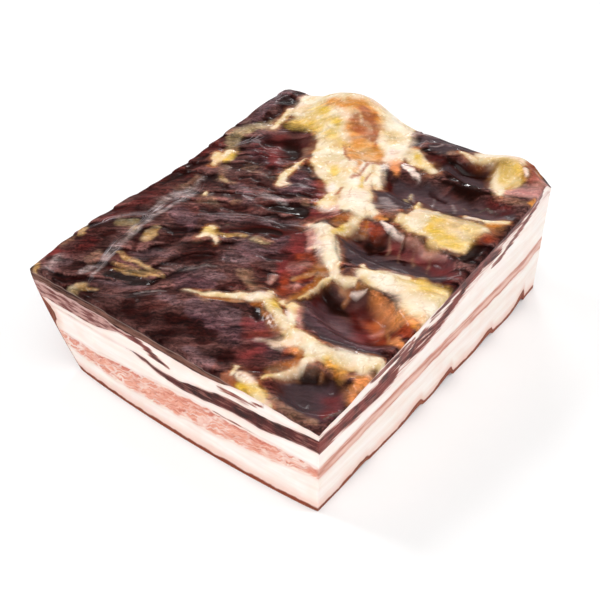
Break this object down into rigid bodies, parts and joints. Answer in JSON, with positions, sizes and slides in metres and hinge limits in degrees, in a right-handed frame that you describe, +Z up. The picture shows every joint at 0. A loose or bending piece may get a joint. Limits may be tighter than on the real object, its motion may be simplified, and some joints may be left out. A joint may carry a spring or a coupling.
{
  "type": "flat pancetta block",
  "caption": "Block of flat cured pork belly with rind underneath, sheets of lean and fat showing at its cut sides, and a dark dried top with rib hollows and fat seams.",
  "frame": {"origin": "on the resting face, below the middle of the block's box", "axes": "+X towards the cut side where the ribs ended, -X the rounded belly edge, -Y the cut front, +Z up from the rind to the dried top"},
  "size_m": [0.1466, 0.1732, 0.0701],
  "materials": {
    "dried_lean": "dark, glossy, air-dried lean meat",
    "fat": "smooth, waxy, off-white cured fat",
    "pink_lean": "moist pink lean meat with white marbling"
  },
  "bodies": {
    "root": {"lean_top": "dried_lean", "fat_upper": "fat", "lean_middle": "dried_lean", "fat_middle": "fat", "lean_lower": "pink_lean", "fat_lower": "fat"}
  },
  "joints": []
}
